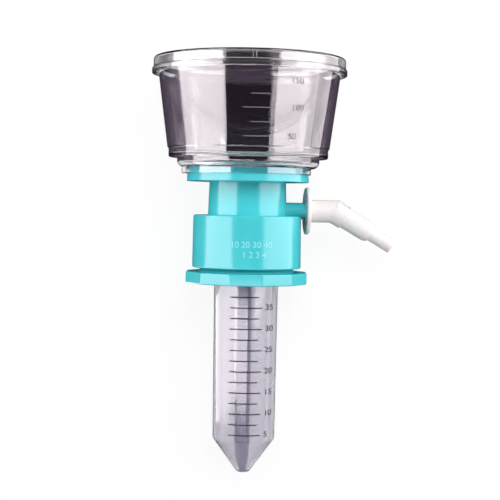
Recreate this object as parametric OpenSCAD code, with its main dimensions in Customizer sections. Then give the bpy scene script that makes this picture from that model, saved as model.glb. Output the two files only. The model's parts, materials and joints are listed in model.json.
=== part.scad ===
// Vacuum filtration unit: a lidded funnel over a membrane filter body, screwed by a
// twelve-sided collar onto a conical centrifuge tube, with a hose elbow on its side port.
//
// Every piece is drawn upright about one axis, with the tip of the tube at height 0.
// lay_down() then puts the whole unit on the surface it lies on: the rim of the lid
// and one flat of the collar touch that surface.

/* [Centrifuge tube] */
// Length from the rim to the tip
tube_length = 113.5; // [95:0.5:140]
// Outer diameter just below the mouth
tube_d = 29.5; // [24:0.1:36]
// How much the diameter draws in down to the cone
tube_draft = 1.1; // [0:0.1:2]
// Height of the conical end
cone_h = 15.7; // [12:0.1:22]
// Diameter of the blunt tip
tip_d = 5.6; // [3.6:0.1:8]
// Thickness of the wall
tube_wall = 1.2; // [0.8:0.1:2]
// Height of the mouth, from the underside of its bead to the rim
mouth_h = 12; // [10:0.5:16]
// How far the mouth stands out from the tube
mouth_rise = 1.4; // [1:0.1:2]
// How far the bead under the mouth stands out from the tube
bead_rise = 2.2; // [1.8:0.1:3]
// Height of the bead
bead_h = 1.5; // [1:0.1:3]

/* [Screw collar] */
// Number of grip flats
collar_sides = 12; // [8:1:12]
// Height of the flanged grip
grip_h = 5.2; // [4:0.1:10]
// How far the grip flats stand out past the threaded sleeve
grip_out = 4.6; // [4:0.05:8]
// Height of the threaded sleeve above the grip
sleeve_h = 9.3; // [8:0.05:14]
// Width from the bore to the outside of the threaded sleeve
sleeve_width = 7.85; // [7:0.05:12]
// Thickness of the collar's inner and outer sleeves
collar_wall = 2; // [1.5:0.1:2.4]
// Running clearance round the tube
tube_gap = 0.3; // [0.2:0.05:0.5]
// Clearance between the threaded sleeve and the skirt
thread_gap = 0.2; // [0.1:0.05:0.4]
// Length of the sleeve left showing when the collar is tight
reveal = 1.8; // [0.5:0.1:3]

/* [Filter body] */
// Thickness of the skirt at its shoulder
skirt_wall = 1.55; // [1:0.05:3]
// How much the skirt widens down to its rim, on the radius
skirt_draft = 0.25; // [0:0.05:1]
// Thickness of the wall that closes the top of the skirt
ceiling_t = 2.5; // [1.6:0.1:4]
// Thickness of the sealing gasket
gasket_t = 2; // [1:0.1:3]
// Outer diameter of the neck at the flange
neck_d = 35; // [33:0.1:42]
// How much the neck widens down to the shoulder, on the radius
neck_draft = 0.5; // [0:0.1:1]
// Thickness of the neck at the flange
neck_wall = 1.8; // [1.2:0.1:2.5]
// Length of the neck between the skirt and the flange
neck_h = 15.2; // [14:0.1:30]
// Thickness of the flange under the funnel
flange_t = 3.45; // [3.2:0.05:6]
// Width of the flange's lip round the filter support
flange_lip = 2.45; // [2.2:0.05:4]
// Thickness of the rim on the flange, which fits a groove in the clamping ring
tongue_w = 1.4; // [1:0.1:1.6]
// How much wider the flange is at its underside, on the radius
flange_draft = 0.3; // [0:0.1:1]

/* [Side port and hose elbow] */
// Outer diameter of the port
port_d = 7.6; // [6:0.1:9]
// Thickness of the port's wall
port_wall = 1.3; // [1:0.1:1.6]
// How deep the port sinks into the skirt's shoulder
port_sink = 1.45; // [0.5:0.05:1.5]
// Angle of the port behind the unit's right-hand side, in degrees
port_turn = 5; // [0:1:30]
// Gap between the skirt and the elbow's disc
disc_clear = 1.7; // [1:0.1:5]
// Length of the port inside the elbow
port_engaged = 9; // [6:0.5:9.5]
// Clearance of the port in the elbow
elbow_gap = 0.05; // [0.02:0.01:0.1]
// Diameter of the elbow's disc
disc_d = 21.7; // [16:0.1:24]
// Thickness of the disc
disc_t = 1.8; // [1.2:0.1:3]
// Thickness of the elbow's sleeve
elbow_wall = 1.3; // [1:0.1:2]
// Length of the elbow from its disc to the bend
elbow_straight = 13.9; // [12:0.1:20]
// Bend of the elbow, in degrees
elbow_bend = 30.5; // [10:0.5:60]
// Length of the bent arm up to the hose nozzle
arm_length = 19.6; // [14:0.1:30]
// Length of the arm's thicker root
arm_root = 5.5; // [4:0.1:8]
// How far the root stands out from the sleeve
root_out = 0.45; // [0.2:0.05:1]
// Diameter of the arm past its root
arm_d = 9.7; // [8.4:0.1:10]
// Thickness of the arm
arm_wall = 2; // [1.4:0.1:2.2]
// Length of the rounded shoulder between the arm and the nozzle
shoulder_h = 3.4; // [1:0.1:5]
// Diameter of the hose nozzle
nozzle_d = 6.65; // [5:0.05:8]
// Length of the hose nozzle
nozzle_length = 11.3; // [8:0.1:20]
// Diameter of the nozzle's bore
nozzle_bore = 4.2; // [3:0.1:4.6]

/* [Membrane and support] */
// Diameter of the filter membrane
membrane_d = 50; // [40:0.5:62]
// Thickness of the membrane, with its wetted swell
membrane_t = 0.3; // [0.2:0.05:0.5]
// Thickness of the ribbed support
support_t = 1.8; // [1.6:0.1:2.4]
// Clearance of the membrane and of its support in the flange
seat_gap = 0.1; // [0.05:0.05:0.3]
// Depth of the drain channels in the support
channel_depth = 0.9; // [0.5:0.1:1]
// Width of the ring channels
channel_w = 1.2; // [0.8:0.1:1.4]
// Distance from one ring channel to the next
channel_pitch = 3.2; // [2.8:0.1:5]
// Number of radial channels
radial_channels = 8; // [6:1:12]
// Outer diameter of the drip spout
spout_d = 8; // [7:0.1:10]
// Thickness of the drip spout
spout_wall = 1.4; // [1:0.1:1.8]
// How far the spout reaches below the rim of the tube
spout_reach = 5; // [2:0.5:10]

/* [Funnel] */
// Thickness of the funnel
funnel_wall = 1.4; // [1.2:0.1:2]
// Height of the ring that clamps the membrane
ring_h = 2.85; // [2:0.05:4]
// How far the clamping ring stands out past the flange
ring_out = 1.15; // [0.8:0.05:2]
// Width of membrane held under the ring
clamp_w = 1.5; // [1:0.1:3]
// How far the lower step stands out past the clamping ring
step_out = 3.7; // [3.2:0.1:8]
// Height of the lower step
step_h = 4.5; // [4:0.1:8]
// How far the upper step stands out past the lower one
foot_out = 3.95; // [3.5:0.05:8]
// Height of the upper step
foot_h = 4.5; // [4:0.1:8]
// How far the cup stands out past the upper step
cup_out = 0.55; // [0.3:0.05:1.5]
// Height of the conical cup
cup_h = 39.7; // [30:0.1:70]
// How much the cup flares over its height, on the radius
cup_flare = 5.25; // [2:0.05:9]
// Width of the small gate nub on the clamping ring
gate_w = 2.6; // [1.5:0.1:4]
// How far the nub stands out
gate_out = 1.6; // [0.5:0.1:3]

/* [Lid] */
// Thickness of the lid's top
lid_t = 1.2; // [1:0.1:2]
// Thickness of the lid's skirt
lid_wall = 1.3; // [0.8:0.1:1.6]
// Clearance between the rim of the funnel and the lid
lid_gap = 0.3; // [0.1:0.05:0.4]
// Height of the lid's skirt below its top
lid_skirt_h = 6.4; // [5:0.1:10]
// Height of the lid's flared lip
lip_h = 2.3; // [1.5:0.1:3]
// How far the lip stands out from the skirt
lip_out = 0.65; // [0.5:0.05:1.5]
// Depth of the rib that centres the lid in the funnel
lid_rib_h = 3; // [2:0.1:5]

/* [Hidden] */
$fn = 96;

edge_break = 0.6;
small_edge = 0.3;
gasket_inset = 2.2;
gasket_lap = 0.9;
tongue_inset = 0.25;
tongue_gap = 0.1;
knee_lap = 0.1;
round_steps = 6;
overrun = 1;

// Heights up the unit's axis, from the tip of the tube
bead_z = tube_length - mouth_h;
grip_top_z = bead_z - sleeve_h;
grip_z = grip_top_z - grip_h;
skirt_z = grip_top_z + reveal;
ceiling_z = tube_length + gasket_t;
shoulder_z = ceiling_z + ceiling_t;
port_z = shoulder_z + port_d / 2 - port_sink;
flange_z = shoulder_z + neck_h;
ring_z = flange_z + flange_t;
support_z = ring_z - membrane_t - support_t;
step_z = ring_z + ring_h;
foot_z = step_z + step_h;
cup_z = foot_z + foot_h;
rim_z = cup_z + cup_h;
lid_top_z = rim_z + lid_t;
lip_z = rim_z - lid_skirt_h;

// Radii, worked outwards from the tube and from the membrane
tube_r = tube_d / 2;
tube_low_r = (tube_d - tube_draft) / 2;
tip_r = tip_d / 2;
mouth_r = tube_r + mouth_rise;
bead_r = tube_r + bead_rise;
collar_bore_r = tube_r + tube_gap;
thread_r = collar_bore_r + sleeve_width;
skirt_bore_r = thread_r + thread_gap;
skirt_r = skirt_bore_r + skirt_wall;
grip_apothem = thread_r + grip_out;
gasket_r = skirt_bore_r - gasket_inset;
throat_r = tube_r - tube_wall - gasket_lap;
neck_r = neck_d / 2;
support_r = membrane_d / 2 + seat_gap;
flange_r = support_r + seat_gap + flange_lip;
ring_r = flange_r + ring_out;
tongue_r = flange_r - tongue_inset;
tongue_in_r = tongue_r - tongue_w;
clamp_r = membrane_d / 2 - clamp_w;
step_r = ring_r + step_out;
step_bulge = min(step_out, step_h) - edge_break;
foot_r = step_r + foot_out;
cup_r = foot_r + cup_out;
rim_r = cup_r + cup_flare;
lid_bore_r = rim_r + lid_gap;
lid_r = lid_bore_r + lid_wall;
lip_r = lid_r + lip_out;
port_r = port_d / 2;
port_bore_r = port_r - port_wall;
elbow_bore_r = port_r + elbow_gap;
elbow_r = elbow_bore_r + elbow_wall;
root_r = elbow_r + root_out;
arm_r = arm_d / 2;
arm_bore_r = arm_r - arm_wall;
nozzle_r = nozzle_d / 2;
spout_r = spout_d / 2;
spout_bore_r = spout_r - spout_wall;
disc_reach = skirt_r + skirt_draft + disc_clear;

// The slope of the axis when the unit lies on the lip of its lid: the first of the
// collar's grip, the tube's shoulder and the funnel's foot to meet the surface sets it.
collar_touch = [grip_apothem, grip_z + edge_break];
tube_touch = [tube_low_r, cone_h];
foot_touch = [foot_r, foot_z];
touches = [collar_touch, tube_touch, foot_touch];
rest_slope = min([for (p = touches) (lip_r - p.x) / (lip_z - p.y)]);
tilt = atan(rest_slope);
lift = lip_r * cos(tilt) - lip_z * sin(tilt);

// The unit's outline on the surface, which centres it on the origin
elbow_length = arm_length + nozzle_length;
elbow_out = disc_reach + elbow_straight + elbow_length * cos(elbow_bend);
right_x = elbow_out * cos(port_turn) + (nozzle_r - small_edge) * sin(elbow_bend);
centre_x = (right_x - lip_r) / 2;
far_y = lid_top_z * cos(tilt) + (lid_r - edge_break) * sin(tilt);
centre_y = (far_y - tip_r * sin(tilt)) / 2;

// Points along an oval of the given radii round centre, from angle a to angle b
function oval(centre, radii, a, b) = [
    for (i = [0:round_steps])
        let (turn = a + (b - a) * i / round_steps)
            centre + [radii.x * cos(turn), radii.y * sin(turn)]
];

// Points along an arc round centre, from angle a to angle b
function arc(centre, r, a, b) = oval(centre, [r, r], a, b);

// Draws its children lying on the surface
module lay_down()
    translate([-centre_x, -centre_y, lift])
        rotate([tilt - 90, 0, 0])
            children();

// A round piece from its outline of [radius, height] points
module turned(outline)
    rotate_extrude()
        polygon(outline);

// Puts its children on the port's axis, with Z outwards and X down the unit
module at_port(reach = 0)
    translate([0, 0, port_z])
        rotate([0, 0, port_turn])
            rotate([0, 90, 0])
                translate([0, 0, reach])
                    children();

module lid() {
    rib_r = rim_r - funnel_wall - lid_gap;
    rib_foot_r = rib_r - lid_rib_h * cup_flare / cup_h;
    color("aliceblue", 0.35)
        lay_down()
            turned(concat(
                [[0, rim_z], [rib_foot_r - lid_wall, rim_z]],
                [[rib_foot_r - lid_wall, rim_z - lid_rib_h], [rib_foot_r, rim_z - lid_rib_h]],
                [[rib_r, rim_z], [lid_bore_r, rim_z]],
                [[lid_bore_r, lip_z + lip_h], [lid_bore_r + lip_out, lip_z]],
                [[lip_r, lip_z], [lip_r, lip_z + lip_h - small_edge]],
                [[lid_r, lip_z + lip_h]],
                arc([lid_r - edge_break, lid_top_z - edge_break], edge_break, 0, 90),
                [[0, lid_top_z]]
            ));
}

// Outline of the funnel's outside, from the clamping ring up to the rim
function funnel_outside() = concat(
    [[ring_r, ring_z], [ring_r, step_z]],
    arc([step_r - step_bulge, step_z + step_bulge], step_bulge, -90, 0),
    [[step_r, foot_z], [foot_r - edge_break, foot_z]],
    arc([foot_r - edge_break, foot_z + edge_break], edge_break, -90, 0),
    [[foot_r, cup_z - small_edge], [cup_r, cup_z], [rim_r, rim_z]]
);

// Outline of the funnel's inside, from the rim down to the membrane and its groove
function funnel_inside() = concat(
    [[rim_r - funnel_wall, rim_z], [cup_r - funnel_wall, cup_z]],
    [[foot_r - funnel_wall, cup_z - small_edge], [foot_r - funnel_wall, foot_z + funnel_wall]],
    [[step_r - funnel_wall, foot_z + funnel_wall]],
    [[step_r - funnel_wall, step_z + step_bulge]],
    arc([step_r - step_bulge, step_z + step_bulge], step_bulge - funnel_wall, 0, -90),
    [[clamp_r, step_z + funnel_wall], [clamp_r, ring_z]],
    [[tongue_in_r - tongue_gap, ring_z], [tongue_in_r - tongue_gap, step_z]],
    [[tongue_r + tongue_gap, step_z], [tongue_r + tongue_gap, ring_z]]
);

module funnel()
    color("aliceblue", 0.35)
        lay_down() {
            turned(concat(funnel_outside(), funnel_inside()));
            translate([-ring_r - gate_out, -gate_w / 2, ring_z])
                cube([gate_out + ring_out / 2, gate_w, ring_h]);
        }

module membrane()
    color("white")
        lay_down()
            translate([0, 0, ring_z - membrane_t])
                cylinder(r = membrane_d / 2, h = membrane_t);

module membrane_support() {
    spout_h = support_z - tube_length + spout_reach;
    first_ring = spout_bore_r + channel_pitch;
    last_ring = clamp_r - channel_w;
    color("whitesmoke")
        lay_down()
            difference() {
                union() {
                    translate([0, 0, support_z])
                        cylinder(r = support_r, h = support_t);
                    translate([0, 0, support_z - spout_h])
                        cylinder(r = spout_r, h = spout_h + support_t / 2);
                }
                translate([0, 0, support_z - spout_h - overrun])
                    cylinder(r = spout_bore_r, h = spout_h + support_t + 2 * overrun);
                translate([0, 0, ring_z - membrane_t - channel_depth]) {
                    for (r = [first_ring:channel_pitch:last_ring])
                        difference() {
                            cylinder(r = r + channel_w, h = channel_depth + overrun);
                            cylinder(r = r, h = channel_depth + overrun);
                        }
                    for (i = [0:radial_channels - 1])
                        rotate([0, 0, i * 360 / radial_channels])
                            translate([0, -channel_w / 2, 0])
                                cube([last_ring, channel_w, channel_depth + overrun]);
                }
            }
}

// Outline of the filter body's outside, from the skirt's rim up to the flange and its rim
function body_outside() = concat(
    arc([skirt_r + skirt_draft - edge_break, skirt_z + edge_break], edge_break, -90, 0),
    arc([skirt_r - edge_break, shoulder_z - edge_break], edge_break, 0, 90),
    [[neck_r + neck_draft, shoulder_z], [neck_r, flange_z]],
    [[flange_r + flange_draft - small_edge, flange_z]],
    [[flange_r + flange_draft, flange_z + small_edge]],
    [[flange_r, ring_z], [tongue_r, ring_z]],
    [[tongue_r, step_z - tongue_gap], [tongue_in_r, step_z - tongue_gap]],
    [[tongue_in_r, ring_z]]
);

// Outline of its inside: the filter seat, the neck, the throat and the threaded skirt
function body_inside() = [
    [support_r + seat_gap, ring_z],
    [support_r + seat_gap, support_z],
    [neck_r - neck_wall, support_z],
    [neck_r - neck_wall, shoulder_z - small_edge],
    [throat_r, shoulder_z - small_edge],
    [throat_r, ceiling_z],
    [skirt_bore_r, ceiling_z],
    [skirt_bore_r, skirt_z]
];

module filter_body() {
    spigot = disc_reach + port_engaged;
    color("mediumturquoise")
        lay_down()
            difference() {
                union() {
                    turned(concat(body_outside(), body_inside()));
                    at_port(neck_r - neck_wall + small_edge)
                        cylinder(r = port_r, h = spigot - neck_r + neck_wall - small_edge);
                }
                at_port(neck_r - neck_wall - overrun)
                    cylinder(r = port_bore_r, h = spigot - neck_r + neck_wall + 2 * overrun);
            }
}

module neck_gasket()
    color("gainsboro")
        lay_down()
            translate([0, 0, tube_length])
                difference() {
                    cylinder(r = gasket_r, h = gasket_t);
                    translate([0, 0, -overrun])
                        cylinder(r = throat_r, h = gasket_t + 2 * overrun);
                }

module screw_collar() {
    corner_r = grip_apothem / cos(180 / collar_sides);
    inner_sleeve_r = collar_bore_r + collar_wall;
    color("mediumturquoise")
        lay_down()
            difference() {
                union() {
                    translate([0, 0, grip_z])
                        rotate([0, 0, 180 / collar_sides])
                            hull() {
                                translate([0, 0, edge_break])
                                    cylinder(r = corner_r, h = grip_h - 2 * edge_break, $fn = collar_sides);
                                cylinder(r = corner_r - edge_break, h = grip_h, $fn = collar_sides);
                            }
                    translate([0, 0, grip_z + grip_h / 2])
                        cylinder(r = thread_r, h = sleeve_h + grip_h / 2);
                }
                translate([0, 0, grip_z - overrun])
                    cylinder(r = collar_bore_r, h = grip_h + sleeve_h + 2 * overrun);
                translate([0, 0, grip_z + collar_wall])
                    difference() {
                        cylinder(r = thread_r - collar_wall, h = grip_h + sleeve_h);
                        cylinder(r = inner_sleeve_r, h = grip_h + sleeve_h);
                    }
            }
}

module centrifuge_tube() {
    bottom_r = tube_low_r - tube_wall;
    color("lavender", 0.6)
        lay_down()
            turned([
                [0, 0], [tip_r - small_edge, 0], [tip_r, small_edge],
                [tube_low_r, cone_h], [tube_r, bead_z],
                [bead_r, bead_z], [bead_r, bead_z + bead_h],
                [mouth_r, bead_z + bead_h], [mouth_r, tube_length],
                [tube_r - tube_wall, tube_length], [tube_r - tube_wall, bead_z],
                [bottom_r, cone_h], [tip_r - tube_wall, tube_wall], [0, tube_wall]
            ]);
}

module hose_elbow() {
    socket_h = port_engaged + small_edge;
    knee = (root_r - elbow_r * cos(elbow_bend)) / sin(elbow_bend) - knee_lap;
    knee_back = elbow_r * sin(elbow_bend) - knee * cos(elbow_bend) + knee_lap;
    color("whitesmoke")
        lay_down()
            at_port(disc_reach)
                difference() {
                    union() {
                        cylinder(r = disc_d / 2, h = disc_t);
                        cylinder(r = elbow_r, h = elbow_straight + knee);
                        at_bend() {
                            translate([0, 0, -knee_back])
                                cylinder(r = root_r, h = knee_back + arm_root);
                            arm();
                        }
                    }
                    translate([0, 0, -overrun])
                        cylinder(r = elbow_bore_r, h = socket_h + overrun);
                    cylinder(r = arm_bore_r, h = elbow_straight);
                    at_bend() {
                        sphere(r = arm_bore_r + knee_lap);
                        cylinder(r = arm_bore_r, h = arm_length - elbow_wall);
                        cylinder(r = nozzle_bore / 2, h = elbow_length + overrun);
                    }
                }
}

// Puts its children at the elbow's bend, along its arm
module at_bend()
    translate([0, 0, elbow_straight])
        rotate([0, elbow_bend, 0])
            children();

// The elbow's bent arm with its hose nozzle, along Z from the bend
module arm()
    turned(concat(
        [[0, 0], [arm_r, 0]],
        oval([nozzle_r, arm_length - shoulder_h], [arm_r - nozzle_r, shoulder_h], 0, 90),
        [[nozzle_r, elbow_length - small_edge], [nozzle_r - small_edge, elbow_length]],
        [[0, elbow_length]]
    ));

lid();
funnel();
membrane();
membrane_support();
filter_body();
neck_gasket();
screw_collar();
centrifuge_tube();
hose_elbow();
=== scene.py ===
import json
import math
import bpy
from mathutils import Matrix, Vector


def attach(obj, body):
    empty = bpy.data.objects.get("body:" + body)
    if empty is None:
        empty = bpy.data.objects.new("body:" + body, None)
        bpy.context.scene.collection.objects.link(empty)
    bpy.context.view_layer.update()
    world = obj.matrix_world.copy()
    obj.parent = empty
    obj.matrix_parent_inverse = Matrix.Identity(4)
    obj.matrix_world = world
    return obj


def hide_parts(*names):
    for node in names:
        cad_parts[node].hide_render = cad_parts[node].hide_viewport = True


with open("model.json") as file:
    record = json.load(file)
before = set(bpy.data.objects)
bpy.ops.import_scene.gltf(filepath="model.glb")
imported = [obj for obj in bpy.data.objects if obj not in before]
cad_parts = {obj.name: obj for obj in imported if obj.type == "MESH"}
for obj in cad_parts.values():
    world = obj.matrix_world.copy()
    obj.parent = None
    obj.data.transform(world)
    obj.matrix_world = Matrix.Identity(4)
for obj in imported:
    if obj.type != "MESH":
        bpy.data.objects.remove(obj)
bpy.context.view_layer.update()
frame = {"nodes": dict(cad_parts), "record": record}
record = frame["record"]
joints = {j["name"]: j for j in record["behaviour"]["joints"]}
mounts = {m["name"]: m for m in record["mounts"]}
mm = 0.001
quarter = math.pi / 2
beyond = 1.0  # how far a shape reaches past the one that it joins or cuts, in millimetres

# heights up the axis from the tip of the tube, in millimetres, shared by the pieces that meet there
level = {
    "cone": 15.7, "grip": 87.0, "gripTop": 92.2, "skirt": 94.0, "bead": 101.5, "tubeRim": 113.5,
    "ceiling": 115.5, "shoulder": 118.0, "flange": 133.2, "seat": 134.55, "ring": 136.65,
    "step": 139.5, "foot": 144.0, "cup": 148.5, "lip": 181.8, "rim": 188.2, "lidTop": 189.4,
}

# the unit lies down: its own upright frame is turned and moved to where the CAD model has it
up = Vector(joints["lid_lift"]["axis"]).normalized()
right = Vector((1, 0, 0))
away = up.cross(right)
tip = Vector(mounts["lid_top"]["pos_m"]) - up * level["lidTop"] * mm
layDown = Matrix.Translation(tip) @ Matrix((right, away, up)).transposed().to_4x4()
swivel = layDown.inverted() @ Vector(joints["elbow_swivel"]["pos_m"])
portTurn = math.atan2(swivel.y, swivel.x)
portReach = swivel.xy.length / mm
bodyOf = {node: body for body, nodes in record["behaviour"]["bodies"].items() for node in nodes}
print("frame loaded, unit lies at", round(math.degrees(math.asin(up.z)), 2), "degrees")


def deselectAll():
    if bpy.context.object and bpy.context.object.mode != "OBJECT":
        bpy.ops.object.mode_set(mode="OBJECT")
    bpy.ops.object.select_all(action="DESELECT")


def pick(piece):
    deselectAll()
    piece.select_set(True)
    bpy.context.view_layer.objects.active = piece


def applyPlace():
    bpy.ops.object.transform_apply(location=True, rotation=True, scale=True)


def applyModifier(piece, name, kind, settings):
    # adds one modifier to the active piece and applies it at once
    modifier = piece.modifiers.new(name, kind)
    for key, value in settings.items():
        setattr(modifier, key, value)
    bpy.ops.object.modifier_apply(modifier=modifier.name)


def softened(corners, closed, arcSteps=6):
    # corners are (radius, height, rounding), all in millimetres; a rounded corner becomes an arc
    # between its two tangent points
    outline = []
    count = len(corners)
    for i, (r, z, rounding) in enumerate(corners):
        here = Vector((r, z))
        if rounding == 0:
            outline.append(here)
            continue
        before = (Vector(corners[i - 1][:2]) - here).normalized()
        after = (Vector(corners[(i + 1) % count][:2]) - here).normalized()
        half = before.angle(after) / 2
        middle = (before + after).normalized()
        centre = here + middle * (rounding / math.sin(half))
        start = here + before * (rounding / math.tan(half)) - centre
        turn = start.angle_signed(here + after * (rounding / math.tan(half)) - centre)
        for k in range(arcSteps + 1):
            outline.append(centre + Matrix.Rotation(-turn * k / arcSteps, 2) @ start)
    if closed:
        outline.append(outline[0])
    return [point * mm for point in outline]


def turned(name, corners, closed=True, sections=160, doubles=1e-7):
    # draws an outline from one vertex and spins it round the axis
    outline = softened(corners, closed)
    deselectAll()
    bpy.ops.mesh.primitive_plane_add(size=mm)
    piece = bpy.context.object
    piece.name = name
    bpy.ops.object.mode_set(mode="EDIT")
    bpy.ops.mesh.select_mode(type="VERT")
    bpy.ops.mesh.merge(type="CENTER")
    bpy.ops.transform.translate(value=(outline[0].x, 0, outline[0].y))
    for start, end in zip(outline, outline[1:]):
        move = (end.x - start.x, 0, end.y - start.y)
        bpy.ops.mesh.extrude_vertices_move(TRANSFORM_OT_translate={"value": move})
    bpy.ops.mesh.select_all(action="SELECT")
    bpy.ops.mesh.remove_doubles(threshold=doubles)
    bpy.ops.mesh.select_all(action="SELECT")
    bpy.ops.mesh.spin(steps=sections, angle=2 * math.pi, center=(0, 0, 0), axis=(0, 0, 1))
    bpy.ops.mesh.select_all(action="SELECT")
    bpy.ops.mesh.remove_doubles(threshold=doubles)
    bpy.ops.mesh.normals_make_consistent(inside=False)
    bpy.ops.object.mode_set(mode="OBJECT")
    return piece


def combine(piece, other, how, sliver=0.002, speck=0.001):
    # joins or cuts the piece with the other solid, which is used up, and then welds the slivers
    # that the cut leaves along its seam
    pick(piece)
    applyModifier(piece, "combine", "BOOLEAN",
                  {"operation": how, "solver": "EXACT", "object": other})
    bpy.data.objects.remove(other)
    bpy.ops.object.mode_set(mode="EDIT")
    bpy.ops.mesh.select_all(action="SELECT")
    bpy.ops.mesh.remove_doubles(threshold=sliver * mm)
    bpy.ops.mesh.select_all(action="SELECT")
    bpy.ops.mesh.dissolve_degenerate(threshold=speck * mm)
    bpy.ops.object.mode_set(mode="OBJECT")
    return piece


def thread(name, radius, low, pitch, size, turns=1, sections=72):
    # a screw thread: a small lozenge swept up a helix and closed at both ends
    deselectAll()
    bpy.ops.mesh.primitive_circle_add(vertices=4, radius=size * mm, fill_type="NOTHING",
                                      location=(radius * mm, 0, low * mm), rotation=(quarter, 0, 0))
    ridge = bpy.context.object
    ridge.name = name
    applyPlace()
    applyModifier(ridge, "sweep", "SCREW", {"steps": sections, "render_steps": sections,
                                            "screw_offset": pitch * mm, "iterations": turns})
    bpy.ops.object.mode_set(mode="EDIT")
    bpy.ops.mesh.select_all(action="SELECT")
    bpy.ops.mesh.fill_holes(sides=4)
    bpy.ops.mesh.select_all(action="SELECT")
    bpy.ops.mesh.normals_make_consistent(inside=False)
    bpy.ops.object.mode_set(mode="OBJECT")
    return ridge


# in millimetres, but figureToSize, which is the font's size over the height of its figures
printing = {"distance": 60, "strip": 0.7, "lift": 0.04, "film": 0.03, "figureToSize": 1.42}


def printOn(shell, name, lines, words, bold=0.0):
    # lines are (left, right, height, thickness), words (text, left, middle height, figure height);
    # they are drawn flat before the shell, wrapped onto its front and made a film of ink
    before = -printing["distance"] * mm
    marks = []
    for left, right, height, thick in lines:
        deselectAll()
        middle = ((left + right) / 2 * mm, before, height * mm)
        bpy.ops.mesh.primitive_plane_add(size=mm, location=middle, rotation=(quarter, 0, 0))
        marks.append(bpy.context.object)
        marks[-1].scale = (right - left, thick, 1)
    for text, left, height, figure in words:
        deselectAll()
        start = (left * mm, before, height * mm)
        bpy.ops.object.text_add(location=start, rotation=(quarter, 0, 0))
        word = bpy.context.object
        word.data.body = text
        word.data.size = figure * printing["figureToSize"] * mm
        word.data.offset = bold * mm
        word.data.align_y = "CENTER"
        bpy.ops.object.convert(target="MESH")
        marks.append(bpy.context.object)
    deselectAll()
    for mark in marks:
        mark.select_set(True)
    bpy.context.view_layer.objects.active = marks[0]
    bpy.ops.object.join()
    film = bpy.context.object
    film.name = name
    applyPlace()
    bpy.ops.object.mode_set(mode="EDIT")
    across = [v.co.x for v in film.data.vertices]
    x = min(across)
    while x < max(across):  # strips narrow enough to follow the round wall
        x += printing["strip"] * mm
        bpy.ops.mesh.select_all(action="SELECT")
        bpy.ops.mesh.bisect(plane_co=(x, 0, 0), plane_no=(1, 0, 0))
    bpy.ops.object.mode_set(mode="OBJECT")
    applyModifier(film, "wrap", "SHRINKWRAP", {
        "wrap_method": "PROJECT", "use_project_y": True, "wrap_mode": "ABOVE_SURFACE",
        "offset": printing["lift"] * mm, "target": shell})
    applyModifier(film, "body", "SOLIDIFY", {"thickness": printing["film"] * mm, "offset": -1})
    return film


def finishPiece(piece, material, node, replaces=True, smooth=30):
    # lays the piece down, gives it its finish and lets it ride on the body of its CAD node
    pick(piece)
    if smooth:
        bpy.ops.object.shade_smooth_by_angle(angle=math.radians(smooth))
        # long walls stay straight beside small roundings
        applyModifier(piece, "even", "WEIGHTED_NORMAL", {"keep_sharp": True})
    piece.matrix_world = layDown @ piece.matrix_world
    applyPlace()
    piece.data.materials.clear()
    piece.data.materials.append(material)
    if replaces:
        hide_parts(node)
    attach(piece, bodyOf[node])
    return piece


def linear(code):
    # an sRGB hex value as linear red, green, blue, alpha
    channels = [int(code[i:i + 2], 16) / 255 for i in (0, 2, 4)]
    return [c / 12.92 if c <= 0.04045 else ((c + 0.055) / 1.055) ** 2.4 for c in channels] + [1]


def addNode(material, kind, settings=None, links=None):
    # adds one node; settings go to its sockets or properties, links join other nodes' outputs to
    # its inputs; a socket goes by its number where its name repeats
    node = material.node_tree.nodes.new(kind)
    for key, value in (settings or {}).items():
        if isinstance(key, int) or key in node.inputs:
            node.inputs[key].default_value = value
        else:
            setattr(node, key, value)
    for key, (source, output) in (links or {}).items():
        material.node_tree.links.new(source.outputs[output], node.inputs[key])
    return node


mixFirst, mixSecond, mixColour = 6, 7, 2  # the colour sockets of a Mix node


def newMaterial(name):
    material = bpy.data.materials.new(name)
    material.use_nodes = True
    material.node_tree.nodes.clear()
    return material


def letLampsThrough(material, plastic, shade):
    # lamps shine through the plastic and leave the floor only a light shadow of that shade
    rays = addNode(material, "ShaderNodeLightPath")
    clear = addNode(material, "ShaderNodeBsdfTransparent", {"Color": linear(shade)})
    both = addNode(material, "ShaderNodeMixShader", {},
                   {0: (rays, "Is Shadow Ray"), 1: (plastic, "BSDF"), 2: (clear, "BSDF")})
    addNode(material, "ShaderNodeOutputMaterial", {}, {"Surface": (both, "Shader")})


# polystyrene, injection moulded in a polished mould: glass clear, with the faint waviness of the
# melt's flow, some 20 mm apart, and rub marks of about 1 mm, coarser than real ones
def polystyreneClear(name, code, smoothest, roughest):
    material = newMaterial(name)
    place = addNode(material, "ShaderNodeTexCoord")
    flow = addNode(material, "ShaderNodeTexNoise", {"Scale": 45, "Detail": 2},
                   {"Vector": (place, "Object")})
    wave = addNode(material, "ShaderNodeBump", {"Strength": 0.02, "Distance": 0.0004},
                   {"Height": (flow, "Fac")})
    rubbed = addNode(material, "ShaderNodeTexNoise", {"Scale": 900, "Detail": 3},
                     {"Vector": (place, "Object")})
    haze = addNode(material, "ShaderNodeMapRange", {"To Min": smoothest, "To Max": roughest},
                   {"Value": (rubbed, "Fac")})
    plastic = addNode(material, "ShaderNodeBsdfPrincipled", {
        "Base Color": linear(code), "Transmission Weight": 1, "IOR": 1.59,
    }, {"Roughness": (haze, "Result"), "Normal": (wave, "Normal")})
    letLampsThrough(material, plastic, "e4e1e5")
    return material


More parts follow.
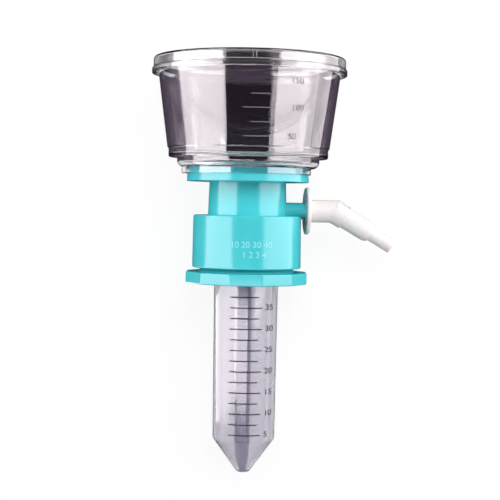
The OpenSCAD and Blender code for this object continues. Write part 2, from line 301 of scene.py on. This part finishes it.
# polypropylene, moulded thin and left natural: slightly cloudy, because its crystals scatter
# light, in clouds of about 4 mm
def polypropyleneCloudy():
    material = newMaterial("polypropyleneCloudy")
    place = addNode(material, "ShaderNodeTexCoord")
    cloud = addNode(material, "ShaderNodeTexNoise", {"Scale": 260, "Detail": 4},
                    {"Vector": (place, "Object")})
    haze = addNode(material, "ShaderNodeMapRange", {"To Min": 0.09, "To Max": 0.13},
                   {"Value": (cloud, "Fac")})
    ripple = addNode(material, "ShaderNodeBump", {"Strength": 0.008, "Distance": 0.0002},
                     {"Height": (cloud, "Fac")})
    plastic = addNode(material, "ShaderNodeBsdfPrincipled", {
        "Base Color": linear("dfdde3"), "Transmission Weight": 0.9, "IOR": 1.49,
    }, {"Roughness": (haze, "Result"), "Normal": (ripple, "Normal")})
    letLampsThrough(material, plastic, "dcd8de")
    return material


# ABS, injection moulded in a polished mould: even colour right through, glossy with a slight
# orange peel of 1.4 mm, and handling marks of about 10 mm
def absTeal():
    material = newMaterial("absTeal")
    place = addNode(material, "ShaderNodeTexCoord")
    peel = addNode(material, "ShaderNodeTexNoise", {"Scale": 700, "Detail": 2},
                   {"Vector": (place, "Object")})
    skin = addNode(material, "ShaderNodeBump", {"Strength": 0.04, "Distance": 0.0002},
                   {"Height": (peel, "Fac")})
    rubbed = addNode(material, "ShaderNodeTexNoise", {"Scale": 90, "Detail": 5},
                     {"Vector": (place, "Object")})
    gloss = addNode(material, "ShaderNodeMapRange", {"To Min": 0.16, "To Max": 0.23},
                    {"Value": (rubbed, "Fac")})
    tone = addNode(material, "ShaderNodeMix", {
        "data_type": "RGBA", mixFirst: linear("40bbc2"), mixSecond: linear("47c2c9"),
    }, {0: (rubbed, "Fac")})
    plastic = addNode(material, "ShaderNodeBsdfPrincipled", {
        "IOR": 1.53, "Specular IOR Level": 0.6, "Subsurface Weight": 0.1,
        "Subsurface Scale": 0.0015,
    }, {"Base Color": (tone, mixColour), "Roughness": (gloss, "Result"),
        "Normal": (skin, "Normal")})
    addNode(material, "ShaderNodeOutputMaterial", {}, {"Surface": (plastic, "BSDF")})
    return material


# polypropylene, moulded white: slightly waxy, with a satin skin of 1 mm grain, coarser than it
# is, that softens reflections
def polypropyleneWhite():
    material = newMaterial("polypropyleneWhite")
    place = addNode(material, "ShaderNodeTexCoord")
    grain = addNode(material, "ShaderNodeTexNoise", {"Scale": 1100, "Detail": 3},
                    {"Vector": (place, "Object")})
    skin = addNode(material, "ShaderNodeBump", {"Strength": 0.08, "Distance": 0.0001},
                   {"Height": (grain, "Fac")})
    gloss = addNode(material, "ShaderNodeMapRange", {"To Min": 0.22, "To Max": 0.32},
                    {"Value": (grain, "Fac")})
    plastic = addNode(material, "ShaderNodeBsdfPrincipled", {
        "Base Color": linear("e3dedc"), "IOR": 1.49, "Subsurface Weight": 0.25,
        "Subsurface Scale": 0.002,
    }, {"Roughness": (gloss, "Result"), "Normal": (skin, "Normal")})
    addNode(material, "ShaderNodeOutputMaterial", {}, {"Surface": (plastic, "BSDF")})
    return material


# cellulose ester, cast as a filter membrane: chalky white and matt, with pores drawn half a
# millimetre wide, because real ones are too fine to show
def celluloseMembrane():
    material = newMaterial("celluloseMembrane")
    place = addNode(material, "ShaderNodeTexCoord")
    pores = addNode(material, "ShaderNodeTexNoise", {"Scale": 2200, "Detail": 3},
                    {"Vector": (place, "Object")})
    tooth = addNode(material, "ShaderNodeBump", {"Strength": 0.1, "Distance": 0.0001},
                    {"Height": (pores, "Fac")})
    tone = addNode(material, "ShaderNodeMix", {
        "data_type": "RGBA", mixFirst: linear("e9e7e2"), mixSecond: linear("f0eeea"),
    }, {0: (pores, "Fac")})
    sheet = addNode(material, "ShaderNodeBsdfPrincipled", {
        "Roughness": 0.85, "Specular IOR Level": 0.3,
    }, {"Base Color": (tone, mixColour), "Normal": (tooth, "Normal")})
    addNode(material, "ShaderNodeOutputMaterial", {}, {"Surface": (sheet, "BSDF")})
    return material


# silicone rubber, moulded natural: milky, with a dull skin that blooms in spots of 2.5 mm
def siliconeNatural():
    material = newMaterial("siliconeNatural")
    place = addNode(material, "ShaderNodeTexCoord")
    bloom = addNode(material, "ShaderNodeTexNoise", {"Scale": 400, "Detail": 3},
                    {"Vector": (place, "Object")})
    dull = addNode(material, "ShaderNodeMapRange", {"To Min": 0.4, "To Max": 0.5},
                   {"Value": (bloom, "Fac")})
    rubber = addNode(material, "ShaderNodeBsdfPrincipled", {
        "Base Color": linear("dcdad8"), "IOR": 1.41, "Subsurface Weight": 0.3,
        "Subsurface Scale": 0.002,
    }, {"Roughness": (dull, "Result")})
    addNode(material, "ShaderNodeOutputMaterial", {}, {"Surface": (rubber, "BSDF")})
    return material


# screen-printed ink: a thin matt film, uneven in spots of 0.4 mm where the mesh laid it down
def printedInk(name, darker, lighter):
    material = newMaterial(name)
    place = addNode(material, "ShaderNodeTexCoord")
    mesh = addNode(material, "ShaderNodeTexNoise", {"Scale": 2500, "Detail": 2},
                   {"Vector": (place, "Object")})
    tone = addNode(material, "ShaderNodeMix", {
        "data_type": "RGBA", mixFirst: linear(darker), mixSecond: linear(lighter),
    }, {0: (mesh, "Fac")})
    ink = addNode(material, "ShaderNodeBsdfPrincipled", {
        "Roughness": 0.6, "Specular IOR Level": 0.2,
    }, {"Base Color": (tone, mixColour)})
    addNode(material, "ShaderNodeOutputMaterial", {}, {"Surface": (ink, "BSDF")})
    return material


clearPlastic = polystyreneClear("polystyreneClear", "fbfafc", 0.0, 0.03)
lidPlastic = polystyreneClear("polystyreneSatin", "fdfcfd", 0.06, 0.12)
frostedPlastic = polystyreneClear("polystyreneFrosted", "fdfcfd", 0.55, 0.65)
cloudyPlastic = polypropyleneCloudy()
tealPlastic = absTeal()
whitePlastic = polypropyleneWhite()
filterPaper = celluloseMembrane()
gasketRubber = siliconeNatural()
greyInk = printedInk("inkGrey", "6f6b71", "7d787f")
blackInk = printedInk("inkBlack", "1c181e", "2c272e")
paleInk = printedInk("inkPale", "86d5db", "97dde2")
print("materials made")

# sizes of the pieces are in millimetres; lines and words to print are laid out as printOn says
lid = {
    "lipRadius": 44.45, "skirtRadius": 43.8, "boreRadius": 42.55, "lipHeight": 2.3, "lipSlope": 0.4,
    "wall": 1.3, "ribRadius": 40.55, "ribFootRadius": 40.15, "ribDepth": 3.0, "edge": 1.4,
    "gap": 0.02,
}
lidMarks = [(1.35, 1.65, 186.4, 2.2), (2.75, 3.05, 186.4, 2.2), (18.1, 18.5, 185.5, 0.5)]


def makeLid(s):
    top, rim, lip = level["lidTop"] - s["gap"], level["rim"] + s["gap"], level["lip"] + s["gap"]
    lipTop = lip + s["lipHeight"]
    ribFoot = rim - s["ribDepth"]
    ribInner = s["ribFootRadius"] - s["wall"]
    return turned("lidShell", [
        (0, top, 0), (s["skirtRadius"], top, s["edge"]),
        (s["skirtRadius"], lipTop + s["lipSlope"], 0.5), (s["lipRadius"], lipTop, 0.5),
        (s["lipRadius"], lip, 0.3), (s["boreRadius"] + s["lipRadius"] - s["skirtRadius"], lip, 0.2),
        (s["boreRadius"], lipTop, 0.5), (s["boreRadius"], rim, 0.2),
        (s["ribRadius"], rim, 0.2), (s["ribFootRadius"], ribFoot, 0.3),
        (ribInner, ribFoot, 0.3), (ribInner, rim, 0.2), (0, rim, 0),
    ], closed=False)


funnel = {
    "rimRadius": 42.25, "cupRadius": 37.0, "footRadius": 36.45, "footSlope": 0.4,
    "stepRadius": 32.5, "ringRadius": 28.8, "clampRadius": 23.5, "grooveInner": 25.9,
    "grooveOuter": 27.5, "wall": 1.4, "bulge": 3.1, "innerBulge": 1.7, "seat": 0.03,
    "gateWidth": 2.6, "gateOut": 1.55, "gateSunk": 0.5, "gateEdge": 0.5, "gateEdgeSteps": 3,
}
funnelLines = [(1.0, 11.3, 170.35, 0.32), (-2.3, 11.1, 164.5, 0.32),
               (0.8, 10.5, 158.4, 0.32), (-2.3, 10.2, 152.35, 0.32)]
funnelWords = [("150", 18.0, 176.4, 2.6), ("100", 18.3, 164.9, 2.6), ("50", 17.0, 152.5, 2.6)]


def makeFunnel(s):
    wall = s["wall"]
    ring, rim = level["ring"] + s["seat"], level["rim"] - s["seat"]
    footTop = level["cup"] - s["footSlope"]
    cup = turned("funnelShell", [
        (s["ringRadius"], ring, 0.3), (s["ringRadius"], level["step"], 0.2),
        (s["stepRadius"], level["step"], s["bulge"]), (s["stepRadius"], level["foot"], 0.3),
        (s["footRadius"], level["foot"], 0.8), (s["footRadius"], footTop, 0.2),
        (s["cupRadius"], level["cup"], 0.3), (s["rimRadius"], rim, 0.3),
        (s["rimRadius"] - wall, rim, 0.3), (s["cupRadius"] - wall, level["cup"], 0.4),
        (s["footRadius"] - wall, footTop, 0.3), (s["footRadius"] - wall, level["foot"] + wall, 0.5),
        (s["stepRadius"] - wall, level["foot"] + wall, 0.4),
        (s["stepRadius"] - wall, level["step"] + wall, s["innerBulge"]),
        (s["clampRadius"], level["step"] + wall, 0.4), (s["clampRadius"], ring, 0.2),
        (s["grooveInner"], ring, 0.1), (s["grooveInner"], level["step"], 0.1),
        (s["grooveOuter"], level["step"], 0.1), (s["grooveOuter"], ring, 0.1),
    ])
    deselectAll()
    high = level["step"] - level["ring"] - 2 * s["seat"]
    middle = (-s["ringRadius"] - (s["gateOut"] - s["gateSunk"]) / 2, 0,
              (level["step"] + level["ring"]) / 2)
    bpy.ops.mesh.primitive_cube_add(size=mm, location=[c * mm for c in middle])
    gate = bpy.context.object
    gate.scale = (s["gateOut"] + s["gateSunk"], s["gateWidth"], high)
    applyPlace()
    bpy.ops.object.mode_set(mode="EDIT")
    bpy.ops.mesh.select_all(action="SELECT")
    bpy.ops.mesh.bevel(offset=s["gateEdge"] * mm, segments=s["gateEdgeSteps"], affect="EDGES")
    bpy.ops.object.mode_set(mode="OBJECT")
    return combine(cup, gate, "UNION")


shell = makeLid(lid)
film = printOn(shell, "lidMarks", lidMarks, [])  # small frosted marks left by the mould
finishPiece(shell, lidPlastic, "lid")
finishPiece(film, frostedPlastic, "lid", replaces=False, smooth=0)
shell = makeFunnel(funnel)
film = printOn(shell, "funnelPrint", funnelLines, funnelWords, bold=0.02)
finishPiece(shell, clearPlastic, "funnel")
finishPiece(film, greyInk, "funnel", replaces=False, smooth=0)
print("lid and funnel made")

tube = {
    "radius": 14.75, "lowRadius": 14.2, "wall": 1.2, "tipRadius": 2.8, "boreTipRadius": 1.9,
    "mouthRadius": 16.1, "beadRadius": 16.95, "beadHeight": 1.5, "threadRoot": 15.4,
    "threadStart": 4.5, "threadPitch": 4,
}
# the longer lines have a figure beside them, 5 more at each
marks = {
    "lines": 14, "first": 18.85, "step": 4.8, "left": -6.85, "longRight": 7.4, "shortRight": 5.85,
    "thickness": 0.5, "figureStep": 5, "figuresLeft": 8.9, "figureRise": 0.25, "figureHeight": 2.6,
}
tubeLines = [(marks["left"], marks["shortRight" if i % 2 else "longRight"],
              marks["first"] + i * marks["step"], marks["thickness"])
             for i in range(marks["lines"])]
tubeWords = [(str((i + 1) * marks["figureStep"]), marks["figuresLeft"],
              marks["first"] + marks["figureRise"] + 2 * i * marks["step"], marks["figureHeight"])
             for i in range(marks["lines"] // 2)]


def makeTube(s):
    inner = s["radius"] - s["wall"]
    beadTop = level["bead"] + s["beadHeight"]
    wallOfTube = turned("tubeShell", [
        (0, 0, 0), (s["tipRadius"], 0, 0.8), (s["lowRadius"], level["cone"], 1.5),
        (s["radius"], level["bead"], 0.2), (s["beadRadius"], level["bead"], 0.3),
        (s["beadRadius"], beadTop, 0.3), (s["threadRoot"], beadTop, 0.2),
        (s["threadRoot"], level["tubeRim"], 0.4), (inner, level["tubeRim"], 0.3),
        (inner, level["bead"], 1.0), (s["lowRadius"] - s["wall"], level["cone"], 1.5),
        (s["boreTipRadius"], s["wall"], 0.5), (0, s["wall"], 0),
    ], closed=False)
    ridge = thread("tubeThread", s["threadRoot"], level["bead"] + s["threadStart"],
                   s["threadPitch"], s["mouthRadius"] - s["threadRoot"])
    return combine(wallOfTube, ridge, "UNION")


shell = makeTube(tube)
film = printOn(shell, "tubePrint", tubeLines, tubeWords, bold=0.02)
finishPiece(shell, cloudyPlastic, "centrifuge_tube")
finishPiece(film, blackInk, "centrifuge_tube", replaces=False, smooth=0)
print("tube made")

# the port and the elbow are drawn with Z along the port, outwards, and X down the unit
portFrame = (Matrix.Translation((0, 0, swivel.z)) @ Matrix.Rotation(portTurn, 4, "Z")
             @ Matrix.Rotation(quarter, 4, "Y"))

body = {
    "skirtRadius": 24.9, "shoulderRadius": 24.65, "edge": 1.0, "neckFootRadius": 18.0,
    "neckRadius": 17.5, "flangeFootRadius": 27.95, "flangeRadius": 27.65, "rimRadius": 27.4,
    "rimWall": 1.4, "rimGap": 0.15, "seatRadius": 25.2, "boreRadius": 15.7, "throatRadius": 12.65,
    "throatLip": 0.3, "threadRadius": 23.1, "portRadius": 3.8, "portBore": 2.5, "portStart": 16.0,
    "portEngaged": 9.0, "portSections": 72, "boreStart": 13.7,
}
bodyWords = [("10 20 30 40", -7.2, 105.1, 2.7), ("1 2 3 4", -2.0, 100.7, 2.7)]


def makeBody(s):
    rimInner, rimTop = s["rimRadius"] - s["rimWall"], level["step"] - s["rimGap"]
    throatTop = level["shoulder"] - s["throatLip"]
    hull = turned("bodyShell", [
        (s["skirtRadius"], level["skirt"], 0.7),
        (s["shoulderRadius"], level["shoulder"], s["edge"]),
        (s["neckFootRadius"], level["shoulder"], 0.3), (s["neckRadius"], level["flange"], 0.4),
        (s["flangeFootRadius"], level["flange"], 0.4), (s["flangeRadius"], level["ring"], 0.1),
        (s["rimRadius"], level["ring"], 0), (s["rimRadius"], rimTop, 0.2),
        (rimInner, rimTop, 0.2), (rimInner, level["ring"], 0),
        (s["seatRadius"], level["ring"], 0.1), (s["seatRadius"], level["seat"], 0.1),
        (s["boreRadius"], level["seat"], 0.2), (s["boreRadius"], throatTop, 0.3),
        (s["throatRadius"], throatTop, 0.2), (s["throatRadius"], level["ceiling"], 0.2),
        (s["threadRadius"], level["ceiling"], 0.3), (s["threadRadius"], level["skirt"], 0.3),
    ])
    portEnd = portReach + s["portEngaged"]
    port = turned("bodyPort", [
        (0, s["portStart"], 0), (s["portRadius"], s["portStart"], 0),
        (s["portRadius"], portEnd, 0.4), (0, portEnd, 0)],
        closed=False, sections=s["portSections"])
    port.matrix_world = portFrame
    bore = turned("bodyBore", [
        (0, s["boreStart"], 0), (s["portBore"], s["boreStart"], 0),
        (s["portBore"], portEnd + beyond, 0), (0, portEnd + beyond, 0)],
        closed=False, sections=s["portSections"])
    bore.matrix_world = portFrame
    return combine(combine(hull, port, "UNION"), bore, "DIFFERENCE")


shell = makeBody(body)
film = printOn(shell, "bodyPrint", [], bodyWords)
finishPiece(shell, tealPlastic, "filter_body")
finishPiece(film, paleInk, "filter_body", replaces=False, smooth=0)
print("filter body made")

collar = {
    "sides": 12, "apothem": 27.45, "edge": 0.5, "edgeSteps": 4, "boreRadius": 15.05,
    "innerRadius": 17.05,
    "outerRadius": 20.2, "neckRadius": 20.7, "neckLow": 0.6, "neckHigh": 1.6, "threadRoot": 22.0,
    "threadCrest": 22.85, "threadStart": 3.4, "threadPitch": 4, "floor": 2.0, "gap": 0.02,
}


def makeCollar(s):
    deselectAll()
    low, high, top = level["grip"] + s["gap"], level["gripTop"], level["bead"] - s["gap"]
    halfSide = math.pi / s["sides"]
    bpy.ops.mesh.primitive_cylinder_add(
        vertices=s["sides"], radius=s["apothem"] / math.cos(halfSide) * mm, depth=(high - low) * mm,
        location=(0, 0, (low + high) / 2 * mm), rotation=(0, 0, halfSide))
    grip = bpy.context.object
    grip.name = "collarGrip"
    applyPlace()
    bpy.ops.object.mode_set(mode="EDIT")
    bpy.ops.mesh.select_all(action="SELECT")
    bpy.ops.mesh.bevel(offset=s["edge"] * mm, segments=s["edgeSteps"], affect="EDGES")
    bpy.ops.object.mode_set(mode="OBJECT")
    sleeve = turned("collarSleeve", [
        (0, high - beyond, 0), (s["threadRoot"], high - beyond, 0), (s["threadRoot"], high, 0),
        (s["neckRadius"], level["skirt"] + s["neckLow"], 0),
        (s["threadRoot"], level["skirt"] + s["neckHigh"], 0),
        (s["threadRoot"], top, 0.5), (0, top, 0)], closed=False)
    ridge = thread("collarThread", s["threadRoot"], high + s["threadStart"], s["threadPitch"],
                   s["threadCrest"] - s["threadRoot"])
    hollow = turned("collarHollow", [
        (0, low - beyond, 0), (s["boreRadius"], low - beyond, 0),
        (s["boreRadius"], top + beyond, 0), (0, top + beyond, 0)], closed=False)
    groove = turned("collarGroove", [
        (s["innerRadius"], low + s["floor"], 0.4), (s["innerRadius"], top + beyond, 0),
        (s["outerRadius"], top + beyond, 0), (s["outerRadius"], low + s["floor"], 0.4)])
    grip = combine(combine(grip, sleeve, "UNION"), ridge, "UNION")
    return combine(combine(grip, hollow, "DIFFERENCE"), groove, "DIFFERENCE")


finishPiece(makeCollar(collar), tealPlastic, "screw_collar")
print("screw collar made")

elbow = {
    "discRadius": 10.8, "discThickness": 1.8, "sleeveRadius": 5.15, "socketRadius": 3.85,
    "socketDepth": 9.3, "straight": 13.9, "bend": 30.5, "rootRadius": 5.6, "rootLength": 5.5,
    "armRadius": 4.85, "armBore": 2.85, "armBoreEnd": 18.3, "shoulderStart": 16.2,
    "shoulderEnd": 19.6, "shoulderSteps": 10, "nozzleRadius": 3.325, "nozzleBore": 2.1,
    "tip": 30.85, "knee": 2.2, "kneeBack": 0.82, "boreRounding": 2.84, "gap": 0.02,
    "sections": 96, "boreSections": 72,
}


def makeElbow(s):
    kneeEnd = s["straight"] + s["knee"]
    sleeve = turned("elbowShell", [
        (0, s["gap"], 0), (s["discRadius"], s["gap"], 0.4),
        (s["discRadius"], s["discThickness"], 0.8), (s["sleeveRadius"], s["discThickness"], 0.5),
        (s["sleeveRadius"], kneeEnd, 0), (0, kneeEnd, 0)],
        closed=False, sections=s["sections"])
    high = s["shoulderEnd"] - s["shoulderStart"]
    drop = s["armRadius"] - s["nozzleRadius"]
    angles = [i * quarter / s["shoulderSteps"] for i in range(s["shoulderSteps"] + 1)]
    shoulder = [(s["nozzleRadius"] + drop * math.cos(a), s["shoulderStart"] + high * math.sin(a), 0)
                for a in angles]
    arm = turned("elbowArm", [
        (0, -s["kneeBack"], 0), (s["rootRadius"], -s["kneeBack"], 0),
        (s["rootRadius"], s["rootLength"], 0.35), (s["armRadius"], s["rootLength"], 0.2),
        *shoulder, (s["nozzleRadius"], s["tip"], 0.35), (0, s["tip"], 0)],
        closed=False, sections=s["sections"])
    boreEnd = s["straight"] + s["armBore"]
    socket = turned("elbowSocket", [
        (0, -beyond, 0), (s["socketRadius"], -beyond, 0), (s["socketRadius"], s["socketDepth"], 0),
        (s["armBore"], s["socketDepth"], 0), (s["armBore"], boreEnd, s["boreRounding"]),
        (0, boreEnd, 0)], closed=False, sections=s["boreSections"])
    bore = turned("elbowBore", [
        (0, -s["armBore"], 0), (s["armBore"], -s["armBore"], s["boreRounding"]),
        (s["armBore"], s["armBoreEnd"], 0), (s["nozzleBore"], s["armBoreEnd"], 0),
        (s["nozzleBore"], s["tip"] + beyond, 0), (0, s["tip"] + beyond, 0)],
        closed=False, sections=s["boreSections"])
    atBend = (Matrix.Translation((0, 0, s["straight"] * mm))
              @ Matrix.Rotation(math.radians(s["bend"]), 4, "Y"))
    arm.matrix_world = atBend
    bore.matrix_world = atBend
    sleeve = combine(combine(sleeve, arm, "UNION"), socket, "DIFFERENCE")
    sleeve = combine(sleeve, bore, "DIFFERENCE")
    sleeve.matrix_world = portFrame @ Matrix.Translation((0, 0, portReach * mm))
    return sleeve


finishPiece(makeElbow(elbow), whitePlastic, "hose_elbow")
print("hose elbow made")

# what the teal body holds keeps its CAD shape and gets its finish
heldInside = {"membrane": filterPaper, "membrane_support": whitePlastic,
              "neck_gasket": gasketRubber}
for node, material in heldInside.items():
    solid = frame["nodes"][node]
    solid.data.materials.clear()
    solid.data.materials.append(material)

# the camera looks square at the unit's axis; its numbers are in the unit's own frame, in
# millimetres, and width is what it takes in across the axis
camera = {
    "eye": (1.6, -580, 123.45), "aim": (1.55, 0, 102.08), "roll": 1.03, "width": 229.33,
    "sensor": 36, "clip": (0.01, 20),
}


def makeCamera(s):
    deselectAll()
    eye = layDown @ (Vector(s["eye"]) * mm)
    target = layDown @ (Vector(s["aim"]) * mm)
    bpy.ops.object.camera_add(location=eye)
    cam = bpy.context.object
    cam.data.sensor_width = s["sensor"]
    cam.data.lens = s["sensor"] * (target - eye).length / (s["width"] * mm)
    look = (target - eye).normalized()
    side = look.cross(up).normalized()
    top = side.cross(look)
    square = Matrix((side, top, -look)).transposed().to_4x4()
    roll = Matrix.Rotation(math.radians(s["roll"]), 4, "Z")
    cam.matrix_world = Matrix.Translation(eye) @ square @ roll
    cam.data.clip_start, cam.data.clip_end = s["clip"]
    bpy.context.scene.camera = cam


makeCamera(camera)


def stagePlane(name, size, place, turn, material, hidden=()):
    deselectAll()
    bpy.ops.mesh.primitive_plane_add(size=1, location=place, rotation=turn)
    plane = bpy.context.object
    plane.name = name
    plane.scale = (size[0], size[1], 1)
    plane.data.materials.append(material)
    for ray in hidden:
        setattr(plane, "visible_" + ray, False)
    return plane


def glow(name, colour, strength=1):
    material = newMaterial(name)
    light = addNode(material, "ShaderNodeEmission", {"Color": linear(colour), "Strength": strength})
    addNode(material, "ShaderNodeOutputMaterial", {}, {"Surface": (light, "Emission")})
    material.cycles.emission_sampling = "NONE"
    return material


# horizon is how far the white goes up the sky, about 3 degrees
studio = {
    "floor": 6, "paper": "f4f4f5", "whiteShare": 0.88, "horizon": 0.05,
    "roof": "3a343c", "roofGlow": 0.5, "room": "aaa5ac", "roomGlow": 0.62,
}


def paleFloor(s):
    # lit like white paper, and topped up to white for the rays that see it as the background
    material = newMaterial("paleFloor")
    rays = addNode(material, "ShaderNodeLightPath")
    seen = addNode(material, "ShaderNodeMath", {"operation": "MAXIMUM"},
                   {0: (rays, "Is Camera Ray"), 1: (rays, "Is Glossy Ray")})
    seenToo = addNode(material, "ShaderNodeMath", {"operation": "MAXIMUM"},
                      {0: (seen, "Value"), 1: (rays, "Is Transmission Ray")})
    share = addNode(material, "ShaderNodeMath", {"operation": "MULTIPLY", 1: s["whiteShare"]},
                    {0: (seenToo, "Value")})
    paper = addNode(material, "ShaderNodeBsdfDiffuse", {"Color": linear(s["paper"])})
    white = addNode(material, "ShaderNodeEmission", {"Strength": 1.0})
    both = addNode(material, "ShaderNodeMixShader", {},
                   {0: (share, "Value"), 1: (paper, "BSDF"), 2: (white, "Emission")})
    addNode(material, "ShaderNodeOutputMaterial", {}, {"Surface": (both, "Shader")})
    return material


def whiteWorld(s):
    # a white sweep behind everything, under the dark roof of the studio; dull surfaces are lit
    # by an even grey room
    world = bpy.data.worlds.new("studio")
    bpy.context.scene.world = world
    world.use_nodes = True
    world.node_tree.nodes.clear()
    rays = addNode(world, "ShaderNodeLightPath")
    place = addNode(world, "ShaderNodeTexCoord")
    height = addNode(world, "ShaderNodeSeparateXYZ", {}, {0: (place, "Generated")})
    low = addNode(world, "ShaderNodeMath", {"operation": "LESS_THAN", 1: s["horizon"]},
                  {0: (height, "Z")})
    seen = addNode(world, "ShaderNodeMath", {"operation": "MAXIMUM"},
                   {0: (low, "Value"), 1: (rays, "Is Camera Ray")})
    white = addNode(world, "ShaderNodeBackground", {"Color": linear("ffffff"), "Strength": 1})
    roof = addNode(world, "ShaderNodeBackground",
                   {"Color": linear(s["roof"]), "Strength": s["roofGlow"]})
    dim = addNode(world, "ShaderNodeBackground",
                  {"Color": linear(s["room"]), "Strength": s["roomGlow"]})
    room = addNode(world, "ShaderNodeMixShader", {},
                   {0: (seen, "Value"), 1: (roof, "Background"), 2: (white, "Background")})
    both = addNode(world, "ShaderNodeMixShader", {},
                   {0: (rays, "Is Diffuse Ray"), 1: (room, "Shader"), 2: (dim, "Background")})
    addNode(world, "ShaderNodeOutputWorld", {}, {"Surface": (both, "Shader")})


def softBox(name, place, turn, size, power):
    deselectAll()
    bpy.ops.object.light_add(type="AREA", location=place, rotation=turn)
    lamp = bpy.context.object
    lamp.name = name
    lamp.data.shape = "RECTANGLE"
    lamp.data.size, lamp.data.size_y = size
    lamp.data.energy = power
    lamp.visible_glossy = False
    lamp.visible_transmission = False
    lamp.visible_camera = False


def leanCorner(plane, place, shift):
    # moves the corner nearest to the place along the unit
    pick(plane)
    applyPlace()
    corner = min(plane.data.vertices, key=lambda v: (v.co - Vector(place)).length)
    corner.co.y += shift


# the rays that planes of the stage are hidden from
glossyOnly = ("camera", "diffuse", "transmission", "shadow")
throughOnly = ("camera", "diffuse", "glossy", "shadow")
notDirect = ("camera", "diffuse", "shadow")
flat = (0, 0, 0)

# the stage is in metres; on each side stands a soft box, whose glowing face the plastic mirrors
# and shows, with its upper front corner drawn out along the tube
boxes = {
    "aside": 0.38, "end": 0.5, "lift": 0.005, "white": "fff8fa",
    "power": 2.2, "lampPlace": 0.12, "lampWidth": 0.6,
    "left": {"side": -1, "top": 0.66, "start": -0.136, "lean": -0.155, "glow": 5.0},
    "right": {"side": 1, "top": 0.56, "start": -0.025, "lean": -0.18, "glow": 3.8},
}


def makeBox(name, s, own):
    across, top, start = tip.x + own["side"] * s["aside"], own["top"], own["start"]
    softBox(name + "Lamp", (across, s["lampPlace"], top / 2), (0, own["side"] * quarter, 0),
            (top, s["lampWidth"]), s["power"])
    face = stagePlane(name + "Face", (top, s["end"] - start),
                      (across, (s["end"] + start) / 2, top / 2 + s["lift"]),
                      (0, -own["side"] * quarter, 0),
                      glow(name + "Glow", s["white"], own["glow"]), notDirect)
    leanCorner(face, (across, start, top), own["lean"])


whiteWorld(studio)
stagePlane("floor", (studio["floor"], studio["floor"]), (0, 0, 0), flat, paleFloor(studio))
for name in ("left", "right"):
    makeBox(name, boxes, boxes[name])

overhead = {"place": (0.1, 0.24, 0.76), "turn": (-0.28, 0, 0), "size": (0.5, 0.5), "power": 3.8}
softBox("overheadLamp", overhead["place"], overhead["turn"], overhead["size"], overhead["power"])

# glowing boards and a dark sheet lie on the floor beside and under the unit and show only in the
# plastic's reflections; the dark sheet is a painted dark reflection; size and place are across the
# unit, along it and up from the floor, and across is from the tip's x
boards = {
    "rightBoard": {"size": (0.26, 0.525), "place": (0.25, 0.2375, 0.001), "tone": "fff8fa",
                   "glow": 3.8, "hidden": glossyOnly},
    # painted dark reflection: a dark sheet that only the plastic's reflections show
    "darkPaintedReflection": {"size": (0.49, 1.24), "place": (-0.125, 0.38, 0.0015), "tone": "2a242c",
                  "glow": 1, "hidden": glossyOnly},
    "leftBoard": {"size": (0.33, 0.061), "place": (-0.205, -0.0465, 0.002), "tone": "fff8fa",
                  "glow": 5.0, "hidden": glossyOnly, "lean": -0.055},
}
# dark planes that show only through the clear plastic and give it its dark edges: their tones are
# painted shade, the dark bands seen through the cup and the tube
paintedShadeCards = {
    "cupPaintedShade": {"size": (0.5, 0.0508), "place": (0, 0.0732, 0.0005), "tone": "594d5d"},
    "cupPaintedShadeStrip": {"size": (0.052, 0.085), "place": (0, 0.085, 0.0010), "tone": "201a22"},
    "cupTopPaintedShade": {"size": (0.052, 0.0081), "place": (0, 0.09445, 0.0015), "tone": "4b404e"},
    "tubePaintedShadeStrip": {"size": (0.0075, 0.12), "place": (-0.0008, -0.055, 0.0005), "tone": "474876"},
}
# a glowing panel over the lower end of the tube, beside the camera, in the unit's millimetres
panel = {"low": -59, "high": 35, "left": -380, "right": 77, "before": 500, "tone": "fff4f8",
         "glow": 12.0}


def layCard(name, s):
    across, along, height = s["place"]
    plane = stagePlane(name, s["size"], (tip.x + across, along, height), flat,
                       glow(name + "Glow", s["tone"], s.get("glow", 1)),
                       s.get("hidden", throughOnly))
    if "lean" in s:
        width, length = s["size"]
        leanCorner(plane, (tip.x + across - width / 2, along - length / 2, height), s["lean"])


def makePanel(s):
    middle = Vector(((s["left"] + s["right"]) / 2, -s["before"], (s["low"] + s["high"]) / 2)) * mm
    stagePlane("topPanel", ((s["right"] - s["left"]) * mm, (s["high"] - s["low"]) * mm),
               layDown @ middle, Matrix((right, up, -away)).transposed().to_euler(),
               glow("panelGlow", s["tone"], s["glow"]), glossyOnly)


for name, board in boards.items():
    layCard(name, board)
makePanel(panel)
# painted shade, seen only through the clear plastic
for name, paintedShadeCard in paintedShadeCards.items():
    layCard(name, paintedShadeCard)
bpy.context.scene.view_settings.view_transform = "Standard"
print("stage made")
